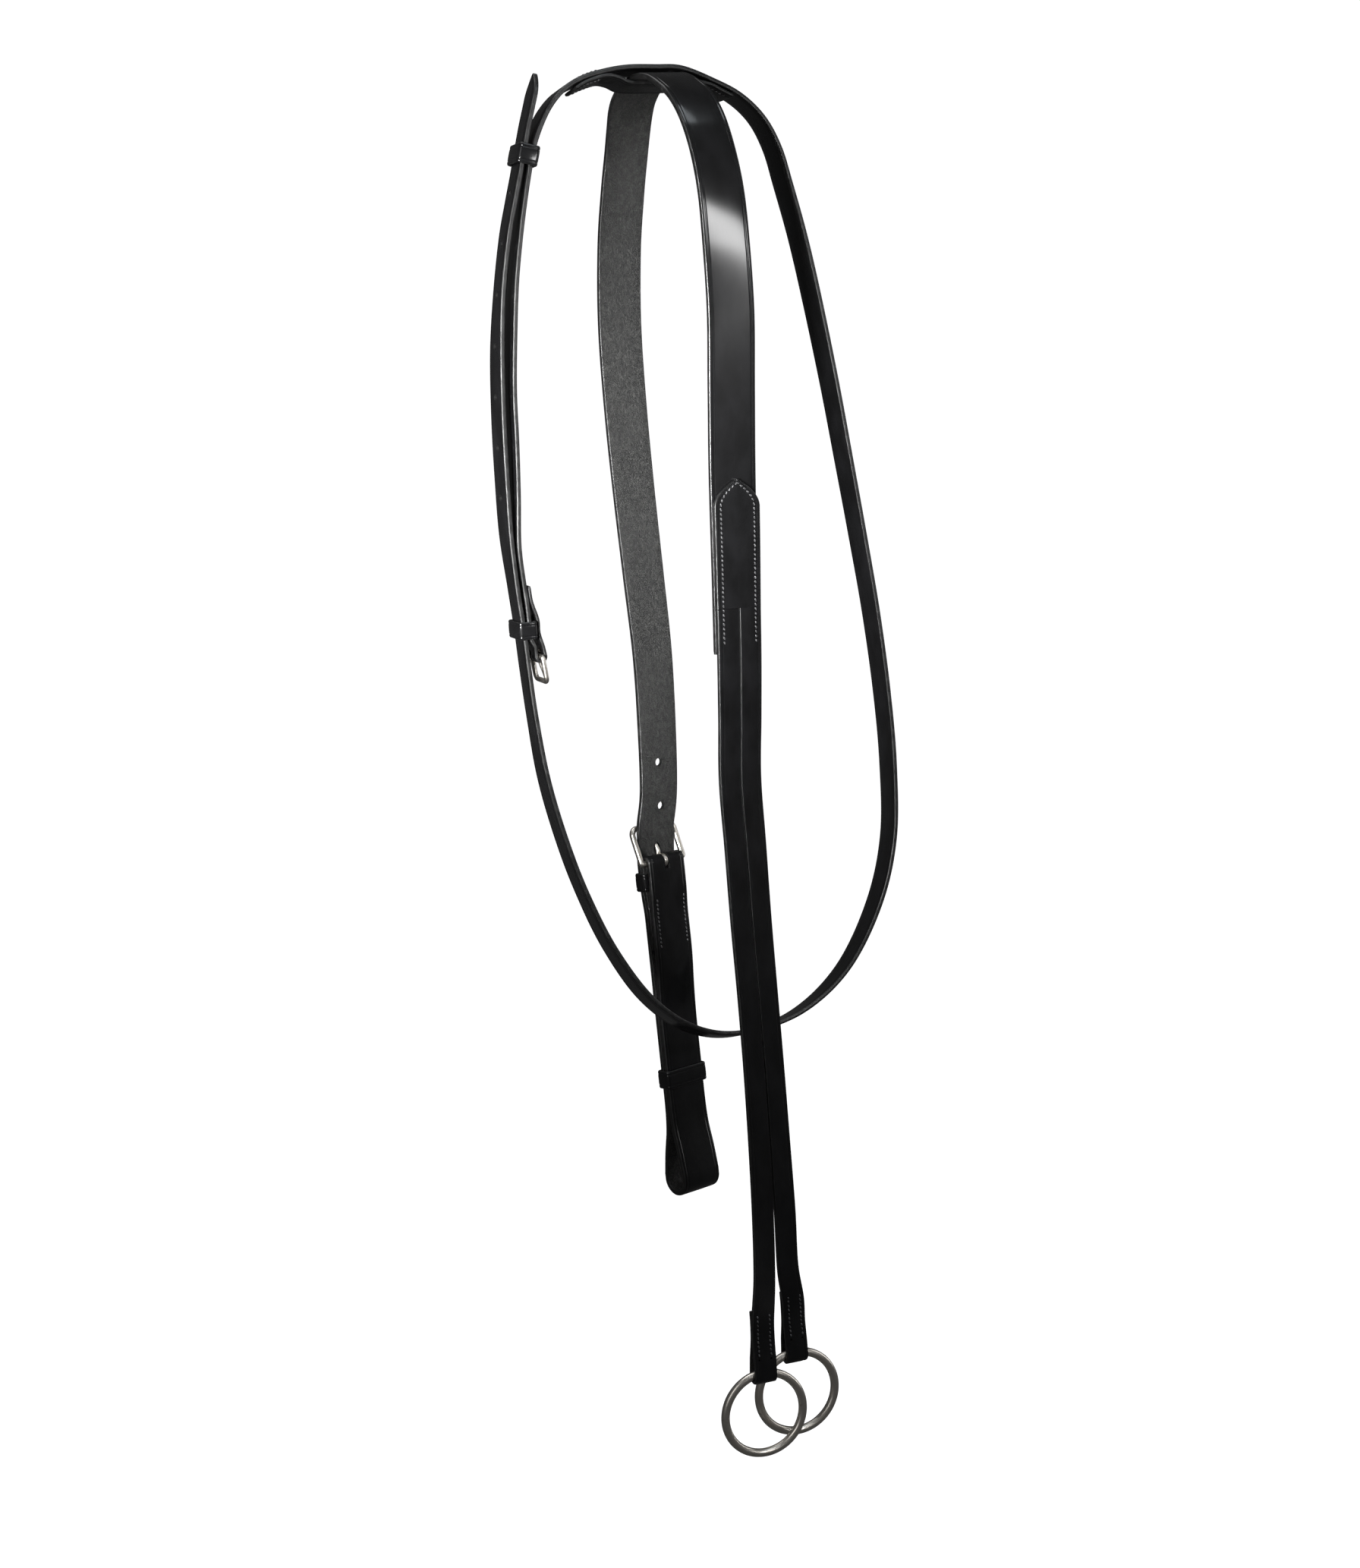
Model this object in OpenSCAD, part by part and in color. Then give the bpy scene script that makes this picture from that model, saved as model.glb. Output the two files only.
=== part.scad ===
// Leather running martingale: a buckled neck strap, a body strap that makes the girth loop,
// and a forked end with two rings.
// Origin at the crossing, where the body strap passes under the neck strap. Z is up, the fork
// hangs in front at -Y, and X lies across the body strap.

/* [Body strap] */
// Width of the body strap
body_w = 25; // [22:1:28]
// Thickness of the body strap leather
body_t = 3; // [2.6:0.1:3.2]
// Distance between two adjustment holes
hole_pitch = 24; // [20:1:28]
// Number of open adjustment holes above the girth buckle
hole_count = 2; // [1:1:6]
// Diameter of an adjustment hole
hole_d = 4.5; // [3:0.5:6]

/* [Fork] */
// Thickness of the fork leather
fork_t = 2.6; // [2:0.1:3]
// Width of the slit between the two forks
slit = 0.6; // [0.4:0.1:1.5]
// Length of the pointed end of the fork piece
fork_tip = 14; // [8:1:20]

/* [Rings] */
// Inside diameter of a ring
ring_id = 40; // [36:1:44]
// Thickness of the ring wire
ring_wire = 4.2; // [3.6:0.2:4.6]

/* [Neck strap] */
// Width of the neck strap
neck_w = 16; // [14:1:17]
// Thickness of the neck strap leather
neck_t = 2.5; // [2:0.1:2.6]
// Diameter of a hole in the billet
billet_hole_d = 3.6; // [3:0.2:4.5]
// Number of holes in the billet
billet_holes = 7; // [3:1:9]
// Length of the pointed billet tip
billet_tip = 12; // [8:1:18]

/* [Buckles and keepers] */
// Wire thickness of the girth buckle
girth_wire = 3.2; // [2.8:0.1:3.2]
// Distance between the two bars of the girth buckle
girth_buckle_l = 20; // [19:0.5:21]
// Wire thickness of the neck buckle
neck_wire = 2.6; // [2:0.2:2.6]
// Distance between the two bars of the neck buckle
neck_buckle_l = 13; // [12:0.5:15]
// Length of a girth keeper along the strap
girth_keeper_l = 10; // [8:1:11]
// Length of a neck keeper along the strap
neck_keeper_l = 10; // [8:1:11]
// Thickness of the keeper leather
keeper_t = 1.2; // [1:0.1:1.3]

/* [Stitching] */
// Distance between two stitches
stitch_pitch = 4; // [3:0.5:5]
// Thickness of the thread
thread_d = 0.8; // [0.5:0.1:1]

/* [Hidden] */

leather = [0.07, 0.07, 0.075];
thread = [0.03, 0.03, 0.03];
nickel = [0.75, 0.73, 0.70];

play = 0.3;          // gap between a bar and the leather folded round it
thin_t = 2;          // thickness of a strap end pared thin to fold round a bar or a ring
neck_thin_t = 1.8;   // the same for the neck strap
pare = 12;           // length over which a strap is pared down
run_gap = 0.08;      // gap between a buckle tongue and its bar
edge_round = 0.6;    // size of the bevel along a strap's edges
steps = 5;           // stations between two route points
girth_pin = 2.4;     // diameter of the girth buckle's pin
girth_hole_d = 4.2;  // hole the pin goes through
neck_pin = 1.9;      // diameter of the neck buckle's pin
tine_w = (body_w - slit) / 2;
crossing_t = 2;
stitch_inset = 3;    // distance from a stitch row to the strap's edge

// ---- Places and turns of the three local frames -------------------------------------------
// A turn is [swing about X, lean about Y, twist about Z], in degrees.
girth_at = [3.5, 44, -413];     // middle of the girth buckle's heel bar
girth_turn = [-4, 0, 12];
girth_tilt = 19;                // lean of the girth buckle away from its chape
neck_at = [-84, 0, -286.5];     // middle of the neck buckle's heel bar
neck_twist = -9;                // twist of the neck strap on the buckle side
neck_turn = [0, 0, 90 + neck_twist];
neck_tilt = 7;                  // lean of the hanging neck buckle away from the billet
left_end_at = [-7.8, -57, -673.2];
left_end_turn = [0, 1.5, -8];
right_end_at = [18.5, -46, -671.6];
right_end_turn = [0, 0, -8];

// ---- Route functions -----------------------------------------------------------------------
// A route point is [x, y, z, twist, roll]: the strap lies across the direction that is twisted
// from X about Z, and is then rolled about its own line.
function unit(v) = v / norm(v);
function xyz(p) = [p.x, p.y, p.z];
function curve(a, b, c, d, t) =
    0.5 * (2 * b + (c - a) * t + (2 * a - 5 * b + 4 * c - d) * t * t
    + (3 * b - a - 3 * c + d) * t * t * t);
function smooth(p, n) = [
    for (i = [0:len(p) - 2])
        for (k = [0:n - 1])
            curve(p[max(i - 1, 0)], p[i], p[i + 1], p[min(i + 2, len(p) - 1)], k / n),
    p[len(p) - 1]];

// A local frame: swing about X, then lean about Y, then twist about Z
function swung(p, a) = [p.x, p.y * cos(a) - p.z * sin(a), p.y * sin(a) + p.z * cos(a)];
function leaned(p, a) = [p.x * cos(a) + p.z * sin(a), p.y, p.z * cos(a) - p.x * sin(a)];
function twisted(p, a) = [p.x * cos(a) - p.y * sin(a), p.x * sin(a) + p.y * cos(a), p.z];
function turned(p, turn) = twisted(leaned(swung(p, turn.x), turn.y), turn.z);
function placed(p, at, turn) = let (q = turned(p, turn) + at) [q.x, q.y, q.z, turn.z, 0];
// Side-view points [depth, height] in a local frame, made into route points
function side_route(p, at, turn) = [for (q = p) placed([0, q[0], q[1]], at, turn)];
function side_arc(centre, r, a0, a1, n) = [
    for (i = [0:n]) let (a = a0 + (a1 - a0) * i / n) centre + r * [cos(a), sin(a)]];

// Distance along a route at each station
function lengths(p) = [
    for (i = 0, s = 0; i < len(p); i = i + 1, s = i < len(p) ? s + norm(xyz(p[i]) - xyz(p[i - 1])) : s) s];
function last(v) = v[len(v) - 1];

// Direction, width direction and outward direction at a station
function along(p, i) = unit(xyz(p[min(i + 1, len(p) - 1)]) - xyz(p[max(i - 1, 0)]));
function wide(p, i) =
    let (t = along(p, i), w = [cos(p[i][3]), sin(p[i][3]), 0], flat = unit(w - (w * t) * t))
    flat * cos(p[i][4]) + cross(t, flat) * sin(p[i][4]);
function outward(p, i) = cross(along(p, i), wide(p, i));

// Width at distance d from a pointed end
function point_width(w, tip, d) =
    tip == 0 || d >= tip ? w : w * (0.12 + 0.88 * sqrt(1 - pow(1 - d / tip, 2)));

// Thickness at distance d from an end that is pared to the thickness thin
function pared(t, thin, length, d) = thin + (t - thin) * min(max((d - length) / pare, 0), 1);

// Bevelled cross-section of a strap
function section(w, t) = let (a = w / 2, b = t / 2, e = min(edge_round, a / 2))
    [[-a, -b + e], [-a + e, -b], [a - e, -b], [a, -b + e],
    [a, b - e], [a - e, b], [-a + e, b], [-a, b - e]];

// A strap swept along stations p. start_tip and end_tip point its two ends, and start_thin and
// end_thin are the lengths that are pared thin.
module strap(p, w, t, start_tip = 0, end_tip = 0, start_thin = -pare, end_thin = -pare, thin = thin_t) {
    s = lengths(p);
    total = last(s);
    rings = [for (i = [0:len(p) - 1])
        let (wd = wide(p, i), out = outward(p, i),
            w_now = min(point_width(w, start_tip, s[i]), point_width(w, end_tip, total - s[i])),
            t_now = min(pared(t, thin, start_thin, s[i]), pared(t, thin, end_thin, total - s[i])))
        for (q = section(w_now, t_now)) xyz(p[i]) + q[0] * wd + q[1] * out];
    n = 8;
    count = len(p);
    sides = [for (i = [0:count - 2]) for (k = [0:n - 1])
        [i * n + k, (i + 1) * n + k, (i + 1) * n + (k + 1) % n, i * n + (k + 1) % n]];
    caps = [[for (k = [0:n - 1]) k], [for (k = [n - 1:-1:0]) (count - 1) * n + k]];
    polyhedron(rings, concat(sides, caps), convexity = 10);
}

// Puts children at distance d along stations p: X across the strap, Y along it, Z outward
module on_strap(p, d) {
    s = lengths(p);
    i = max([for (k = [0:len(s) - 2]) if (s[k] <= d) k]);
    f = (d - s[i]) / (s[i + 1] - s[i]);
    o = xyz(p[i]) * (1 - f) + xyz(p[i + 1]) * f;
    x = wide(p, i);
    z = outward(p, i);
    y = cross(z, x);
    multmatrix([[x.x, y.x, z.x, o.x], [x.y, y.y, z.y, o.y], [x.z, y.z, z.z, o.z], [0, 0, 0, 1]])
        children();
}

// One stitch: a bar on each face of the layers and the thread through them
module stitch(top, bottom) {
    bar = stitch_pitch * 0.62;
    for (z = [top, bottom])
        translate([0, -bar / 2, z]) rotate([-90, 0, 0]) cylinder(d = thread_d, h = bar, $fn = 16);
    translate([0, 0, bottom]) cylinder(d = thread_d * 0.8, h = top - bottom, $fn = 16);
}

// Stitches on both edges of a strap, from distance a to b
module stitch_rows(p, a, b, half, top, bottom) {
    for (k = [0:floor((b - a) / stitch_pitch)])
        for (x = [-half, half])
            on_strap(p, a + k * stitch_pitch) translate([x, 0, 0]) stitch(top, bottom);
}

module at_frame(at, turn) {
    translate(at) rotate(turn) children();
}

// ---- Routes --------------------------------------------------------------------------------
function flat_turn(p) = [for (q = p) [q.x, q.y, q.z, q[3], 0]];

// Body strap: from its lower front end, over the crossing, down the back branch
body_front = flat_turn([[4, -50, -291, -2], [5.5, -50, -251, -4], [7.3, -50, -200, -7],
    [9.5, -50, -158, -8], [11.5, -50, -120, -8], [11, -50, -85, -6], [10.2, -49, -61, -3],
    [8.5, -46, -41, 0], [6.5, -41, -25, 0], [4.5, -34, -14, 0], [2.5, -25, -7, 0],
    [1.5, -16, -3, 0], [0.5, -8, -2, 0], [0, 0, -3, 0], [0.5, 8, -5, 0], [2, 18, -8, 0],
    [4.5, 29, -13.5, 0], [7, 38, -22, 0], [8, 45, -36, 0], [6.5, 49, -56, 0], [3, 50, -85, 0],
    [0.5, 50, -125, 0], [1, 50, -170, 1], [3, 50, -215, 3], [5.5, 50, -257, 5],
    [8, 50, -300, 8], [8, 50, -341, 10], [6.2, 49, -375, 12]]);
// Far layer of the girth loop in its local frame, then round the bottom and up the near layer
girth_far = [[2.9, 20], [3.7, 14], [5, 7], [5.7, 0], [5.7, -6], [5.4, -13], [5, -20],
    [4.2, -28], [4.1, -38], [4.1, -48], [4.1, -62], [4.2, -76], [4.2, -90], [4.2, -116],
    [4.2, -136], [5.4, -150], [8.4, -163], [10.5, -175]];
girth_near = [[-4.5, -175], [-2.6, -162], [0, -149], [0.8, -136], [0.8, -116], [0.8, -90],
    [0, -72], [-1.1, -58], [-1.5, -48], [-1.5, -38], [-1.5, -28], [-2.1, -20], [-2.5, -13],
    [-2.9, -6]];
girth_back = [[2.9, -6], [2.6, -13], [2.2, -20], [1.3, -28], [1.3, -38], [1.3, -48]];
girth_fold_r = girth_wire / 2 + play + thin_t / 2;
girth_bottom = side_arc([3, -177.5], 7.5, 0, -180, 12);
girth_fold = side_arc([0, 0], girth_fold_r, 180, 0, 12);

body_run = concat(
    smooth(concat(body_front, side_route(girth_far, girth_at, girth_turn)), steps),
    side_route([for (i = [1:len(girth_bottom) - 2]) girth_bottom[i]], girth_at, girth_turn),
    smooth(side_route(girth_near, girth_at, girth_turn), 3),
    side_route(girth_fold, girth_at, girth_turn),
    smooth(side_route(girth_back, girth_at, girth_turn), 3));

back_line = [for (p = body_front) if (p.y > 45) [p.z, p.x]];

// Fork piece: down the front of the body strap, then two forks
fork_y = -50 - (body_t + fork_t) / 2 - 0.2;
fork_top = flat_turn([[7.5, fork_y, -203, -7], [7.4, fork_y, -206, -7], [7.3, fork_y, -211, -7],
    [7, fork_y, -219, -6.6], [6.3, fork_y, -238, -5], [4.9, fork_y, -272, -2.2]]);
fork_low = flat_turn([[5, fork_y, -268, -2.3], [3.9, fork_y, -295, -1], [2.9, -52, -324, 1],
    [1.6, -51, -356, 3], [2.8, -50.5, -391, 4], [4, -50, -430, 5], [5.5, -50, -470, 6],
    [6.8, -50, -511, 6], [7.6, -50, -553, 4], [7.8, -50.3, -590, 0]]);
// The line of one fork, moved sideways by d and opening by a further spread at its low end
function beside(p, d, spread) = [for (q = p)
    let (e = d + spread * max(0, (-470 - q.z) / 120))
    [q.x + e * cos(q[3]), q.y + e * sin(q[3]), q.z, q[3], 0]];
fork_mid = (tine_w + slit) / 2;
left_fork = concat(beside(fork_low, -fork_mid, -0.5), flat_turn([[-2.6, -54.5, -622, 0]]));
right_fork = concat(beside(fork_low, fork_mid, 0.5), flat_turn([[15.4, -49, -621, 0]]));

// Fork ends in side view, round the ring's top
ring_r = ring_id / 2 + ring_wire / 2;
ring_drop = ring_r - sqrt(ring_r * ring_r - tine_w * tine_w / 4);
fold_r = ring_wire / 2 + ring_drop / 2 + play + thin_t / 2;
end_front = [[-1.6, 31], [-1.6, 19], [-3.1, 8.5]];
end_back = [[3.1, 8.5], [1.2, 19], [1.1, 29], [2.3, 38]];
end_fold = side_arc([0, 0], fold_r, 180, 360, 12);
function fork_run(line, at, turn) = concat(
    smooth(concat(line, side_route(end_front, at, turn)), steps),
    side_route(end_fold, at, turn),
    smooth(side_route(end_back, at, turn), 4));
left_run = fork_run(left_fork, left_end_at, left_end_turn);
right_run = fork_run(right_fork, right_end_at, right_end_turn);

// Neck strap: [x, z, twist, roll] points in the plane y = 0
function neck_route(p) = [for (q = p) [q[0], 0, q[1], 90 + q[2], q[3]]];
NT = neck_twist;
neck_fold_r = neck_wire / 2 + play + neck_thin_t / 2;
neck_fold = side_arc([0, 0], neck_fold_r, 180, 360, 12);
neck_back = [[3.8, 36], [3, 28], [0.4, 19], [0.2, 12], [-1.6, 5]];
neck_start = [[2.7, 5], [4.7, 10], [5.1, 19], [5.6, 28], [6.3, 36]];
neck_up = [[-92, -230, NT, 0], [-91, -205, -5, 0], [-90, -179, -4, 0], [-89.3, -153, -4, 0],
    [-87, -127, -5, 0], [-83.6, -101, NT, 0], [-80, -80, NT, 0], [-76.2, -62, NT, 0],
    [-72.8, -48, NT, 0], [-69.6, -36, -8, 0], [-65, -25, -6, 0],
    [-59, -16, -4, -4], [-51.5, -9, 0, -9], [-41, -3.8, 0, -12], [-28, -0.5, 0, -12],
    [-15, 1.2, 0, -12], [0, 1.2, 0, -12], [15, 0.5, 0, -12], [32.5, -5.4, 0, -10],
    [48.5, -12.3, 0, -4], [61.5, -23.5, 0, -2], [70, -38.5, 0, -3], [75.5, -57, 0, -4],
    [83, -85, 0, -4], [90, -118, 0, -4], [98, -161, 0, -3], [105, -204, 0, -2],
    [111.5, -245, 0, -1], [117.5, -286, 0, 0], [122, -329, 0, 1], [124, -370, 0, 2],
    [122, -411, 0, 4], [110.5, -447, 0, 6], [88, -480, 0, 10], [57, -499.5, 0, 15],
    [20, -504.5, 0, 18], [-8.5, -496.5, 0, 14], [-33, -476.5, 0, 8], [-53, -446, 0, 2],
    [-67.5, -413, 0, -2], [-77.5, -382, -2, -2], [-85, -350, -6, 0], [-89, -318, NT, 0],
    [-91.2, -292, NT, 0], [-92.6, -272, NT, 0], [-94.6, -251, NT, 0], [-96.6, -225, -5, 0],
    [-96.8, -197, -4, 0], [-96.3, -166, -4, 0], [-94.5, -133, -5, 0], [-91, -104, NT, 0],
    [-86, -78, NT, 0], [-81.4, -61, NT, 0], [-77.6, -48, NT, 0], [-74.4, -36, NT, 0],
    [-71, -24, NT, 0], [-67.5, -13, NT, 0], [-65.2, -5.5, NT, 0], [-63.6, 0.5, NT, 0]];
neck_run = concat(
    smooth(side_route(neck_back, neck_at, neck_turn), 3),
    side_route(neck_fold, neck_at, neck_turn),
    smooth(concat(side_route(neck_start, neck_at, neck_turn), neck_route(neck_up)), 3));

crossing_run = smooth(neck_route([[-44.5, -8.4, 0, -10], [-38, -5.5, 0, -12],
    [-28, -2.9, 0, -12], [-21, -3.9, 0, -12], [-15.5, -6.2, 0, -12], [-8, -6.8, 0, -12],
    [8, -6.8, 0, -12], [15.5, -6.7, 0, -12], [21, -6, 0, -12], [30.5, -7.5, 0, -10],
    [37, -10.2, 0, -8], [43.5, -13, 0, -6]]), 4);

// ---- Leather pieces ------------------------------------------------------------------------
module girth_slot() {
    at_frame(girth_at, girth_turn) translate([-1.7, -6, -6]) cube([3.4, 9.9, 12]);
}

module body_strap() {
    color(leather) difference() {
        strap(body_run, body_w, body_t, end_thin = 61);
        girth_slot();
        at_frame(girth_at, girth_turn) rotate([-girth_tilt, 0, 0])
            pin_line(girth_wire, girth_buckle_l, girth_pin, 3.5, 14, girth_hole_d);
        for (k = [1:hole_count])
            let (z = girth_at.z + 5.5 + k * hole_pitch)
                translate([lookup(z, back_line), 60, z]) rotate([90, 0, 0])
                    cylinder(d = hole_d, h = 20, $fn = 32);
    }
}

module fork_strap() {
    color(leather) union() {
        strap(smooth(fork_top, steps), body_w, fork_t, start_tip = fork_tip);
        strap(left_run, tine_w, fork_t, end_thin = 54);
        strap(right_run, tine_w, fork_t, end_thin = 54);
    }
}

module neck_strap() {
    s = lengths(neck_run);
    color(leather) difference() {
        strap(neck_run, neck_w, neck_t, end_tip = billet_tip, start_thin = 46, thin = neck_thin_t);
        at_frame(neck_at, neck_turn) translate([-1.5, -6, -6]) cube([3, 10, 9]);
        at_frame(neck_at, neck_turn) translate([-1.5, -6, -6]) cube([3, 6, 12]);
        for (k = [0:billet_holes - 1])
            on_strap(neck_run, last(s) - 60 - k * 25)
                translate([0, 0, -neck_t]) cylinder(d = billet_hole_d, h = 2 * neck_t, $fn = 32);
    }
}

module crossing_loop() {
    color(leather) strap(crossing_run, neck_w, crossing_t, thin = crossing_t);
}

// ---- Keepers: closed bands -------------------------------------------------------------------
module band(inner_x, inner_y, length) {
    translate([0, 0, -length / 2]) linear_extrude(length) difference() {
        square([inner_x + 2 * keeper_t, inner_y + 2 * keeper_t], center = true);
        square([inner_x, inner_y], center = true);
    }
}

module girth_fixed_keeper() {
    color(leather) at_frame(girth_at, girth_turn) translate([0, 4.3, -10.5])
        band(body_w + 0.8, 6.4, girth_keeper_l);
}

module girth_running_keeper() {
    color(leather) at_frame(girth_at, girth_turn) translate([0, 2.5, -120.5])
        band(body_w + 0.8, 2 * body_t + 1.3, girth_keeper_l);
}

module neck_fixed_keeper() {
    color(leather) at_frame(neck_at, neck_turn) translate([-0.7, 6.65, 14])
        band(neck_w + 2.2, 7.6, neck_keeper_l - 1);
}

module neck_running_keeper() {
    color(leather) at_frame([-72.8, 0, -39], [15.5, 2, 90 + neck_twist])
        band(neck_w + 1.5, 8.6, neck_keeper_l);
}

// ---- Metal pieces ---------------------------------------------------------------------------
module wire_bar(a, b, d) {
    v = b - a;
    translate(a) rotate([0, acos(v.z / norm(v)), atan2(v.y, v.x)]) cylinder(d = d, h = norm(v), $fn = 32);
}

// Buckle frame in the plane y = 0: heel bar on the X axis, far bar above it
module frame_wire(half, length, d, r) {
    corners = [[half, 0, 0], [half, 0, length], [-half, 0, length], [-half, 0, 0]];
    wire_bar([-half, 0, 0], [half, 0, 0], d);
    wire_bar([half, 0, 0], [half, 0, length - r], d);
    wire_bar([-half, 0, 0], [-half, 0, length - r], d);
    wire_bar([-half + r, 0, length], [half - r, 0, length], d);
    for (side = [0, 1])
        mirror([side, 0, 0]) {
            translate([half, 0, 0]) sphere(d = d, $fn = 32);
            translate([half - r, 0, length - r]) rotate([90, 0, 0])
                rotate_extrude(angle = 90, $fn = 48) translate([r, 0]) circle(d = d, $fn = 32);
        }
}

// Pin of a tongue in the same frame, from the top of the heel bar to the back of the far bar.
// a and b are how far along it the cylinder starts and ends.
module pin_line(bar_d, length, pin_d, a, b, d) {
    rise = (bar_d + pin_d) / 2 + 0.3;
    translate([0, 0.3, 0]) rotate([-atan((rise - 0.3) / length), 0, 0])
        translate([0, 0, a]) cylinder(d = d, h = b - a, $fn = 32);
}

// Tongue: a flat ring round the heel bar and a pin that rests on the far bar
module tongue_wire(bar_d, length, pin_d, eye_w, eye_t) {
    inner = bar_d / 2 + run_gap;
    rotate([0, 90, 0]) rotate_extrude($fn = 48) translate([inner, -eye_w / 2]) square([eye_t, eye_w]);
    pin_line(bar_d, length, pin_d, inner + 0.4, length + 1.6, pin_d);
}

module girth_buckle_frame() {
    color(nickel) at_frame(girth_at, girth_turn) rotate([-girth_tilt, 0, 0])
        frame_wire(body_w / 2 + 0.6 + girth_wire / 2, girth_buckle_l, girth_wire, 4);
}

module girth_buckle_tongue() {
    color(nickel) at_frame(girth_at, girth_turn) rotate([-girth_tilt, 0, 0])
        tongue_wire(girth_wire, girth_buckle_l, girth_pin, 2.8, 1.7);
}

module neck_buckle_frame() {
    color(nickel) at_frame(neck_at, neck_turn) rotate([180 - neck_tilt, 0, 0])
        frame_wire(neck_w / 2 + 0.5 + neck_wire / 2, neck_buckle_l, neck_wire, 3);
}

module neck_buckle_tongue() {
    color(nickel) at_frame(neck_at, neck_turn) rotate([180 - neck_tilt, 0, 0])
        tongue_wire(neck_wire, neck_buckle_l, neck_pin, 2.4, 1.4);
}

module ring(at, turn) {
    color(nickel) at_frame(at, turn) translate([0, 0, ring_drop / 2 - ring_r])
        rotate([90, 0, 0]) rotate_extrude($fn = 96) translate([ring_r, 0]) circle(d = ring_wire, $fn = 32);
}
module left_ring() { ring(left_end_at, left_end_turn); }
module right_ring() { ring(right_end_at, right_end_turn); }

// ---- Stitching ------------------------------------------------------------------------------
fork_seam = smooth(concat(fork_top, [fork_low[1]]), 8);
module fork_top_stitching() {
    top = fork_t / 2;
    bottom = -fork_t / 2 - 0.2 - body_t;
    color(thread) {
        stitch_rows(fork_seam, fork_tip, 82, body_w / 2 - stitch_inset, top, bottom);
        for (k = [0:2])
            for (side = [-1, 1])
                on_strap(fork_seam, 3.6 + k * 3.4) translate([side * (1.5 + 2.9 * k), 0, 0])
                    rotate([0, 0, side * (50 - 15 * k)]) stitch(top, bottom);
    }
}

// Depth of a side-view line at height z
function depth_at(line, z) = lookup(z, [for (q = line) [q[1], q[0]]]);

// Two rows of stitches in a local frame, through two side-view lines of given thicknesses
module frame_stitches(at, turn, front, front_t, back, back_t, half, z0, z1) {
    at_frame(at, turn)
        for (k = [0:floor((z1 - z0) / stitch_pitch)])
            let (z = z0 + k * stitch_pitch)
                for (x = [-half, half])
                    translate([x, 0, z]) rotate([90, 0, 0])
                        stitch(front_t / 2 - depth_at(front, z), -back_t / 2 - depth_at(back, z));
}

module fork_stitches(at, turn) {
    color(thread)
        frame_stitches(at, turn, end_front, fork_t, end_back, thin_t, tine_w / 2 - 2, 12, 34);
}
module left_fork_stitching() { fork_stitches(left_end_at, left_end_turn); }
module right_fork_stitching() { fork_stitches(right_end_at, right_end_turn); }

module girth_chape_stitching() {
    color(thread) frame_stitches(girth_at, girth_turn, girth_near, body_t, girth_back, thin_t,
        body_w / 2 - stitch_inset, -46, -19);
}

module neck_chape_stitching() {
    color(thread) frame_stitches(neck_at, neck_turn, neck_back, neck_thin_t, neck_start, neck_t,
        neck_w / 2 - stitch_inset, 21, 34);
}

module crossing_stitches(d) {
    color(thread)
        stitch_rows(crossing_run, d, d + 12.5, neck_w / 2 - stitch_inset,
            crossing_t / 2 + 0.4 + neck_t, -crossing_t / 2);
}
module crossing_left_stitching() { crossing_stitches(3); }
module crossing_right_stitching() { crossing_stitches(last(lengths(crossing_run)) - 15.5); }

body_strap();
fork_strap();
left_ring();
right_ring();
girth_buckle_frame();
girth_buckle_tongue();
girth_fixed_keeper();
girth_running_keeper();
neck_strap();
neck_buckle_frame();
neck_buckle_tongue();
neck_fixed_keeper();
neck_running_keeper();
crossing_loop();
fork_top_stitching();
left_fork_stitching();
right_fork_stitching();
girth_chape_stitching();
neck_chape_stitching();
crossing_left_stitching();
crossing_right_stitching();
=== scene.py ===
# %% [markdown]
# A running martingale, hung up by the crossing of its straps. It is made of three long leather
# straps, the small leather pieces that hold them together, and metal rings and buckles. The packed
# model gives the places and sizes of all of it. Here every piece is made again with its real
# edges, creases, stitches and finish, and rides on the body that moves it.

import math

import bmesh
import bpy
from mathutils import Matrix, Vector


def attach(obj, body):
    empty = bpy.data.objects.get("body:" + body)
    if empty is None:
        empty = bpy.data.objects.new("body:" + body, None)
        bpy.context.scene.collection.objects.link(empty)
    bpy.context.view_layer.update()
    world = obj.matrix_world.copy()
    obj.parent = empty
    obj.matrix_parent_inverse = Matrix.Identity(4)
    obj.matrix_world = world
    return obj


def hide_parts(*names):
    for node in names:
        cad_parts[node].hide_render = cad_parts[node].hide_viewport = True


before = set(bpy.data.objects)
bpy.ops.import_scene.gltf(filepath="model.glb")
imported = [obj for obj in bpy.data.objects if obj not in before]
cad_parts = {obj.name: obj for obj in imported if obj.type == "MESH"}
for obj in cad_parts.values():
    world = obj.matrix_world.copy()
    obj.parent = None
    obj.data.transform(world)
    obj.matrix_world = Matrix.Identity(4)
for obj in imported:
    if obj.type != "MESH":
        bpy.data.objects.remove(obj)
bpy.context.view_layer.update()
MM = 0.001
BODY_W, BODY_T = 25, 3         # body strap and fork piece: width, and the body strap's thickness
FORK_T = 2.6
NECK_W, NECK_T = 16, 2.5
NECK_THIN = 1.8                # where the neck strap is pared thin to fold round its buckle
LOOP_T = 2

# %% [markdown]
# The straps hang like a picture, so the camera looks from the front and a little from the left
# and above. It is turned slightly about its own line of sight, because the set hangs a little
# askew. Making the camera first means that every test picture has the right view.

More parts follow.
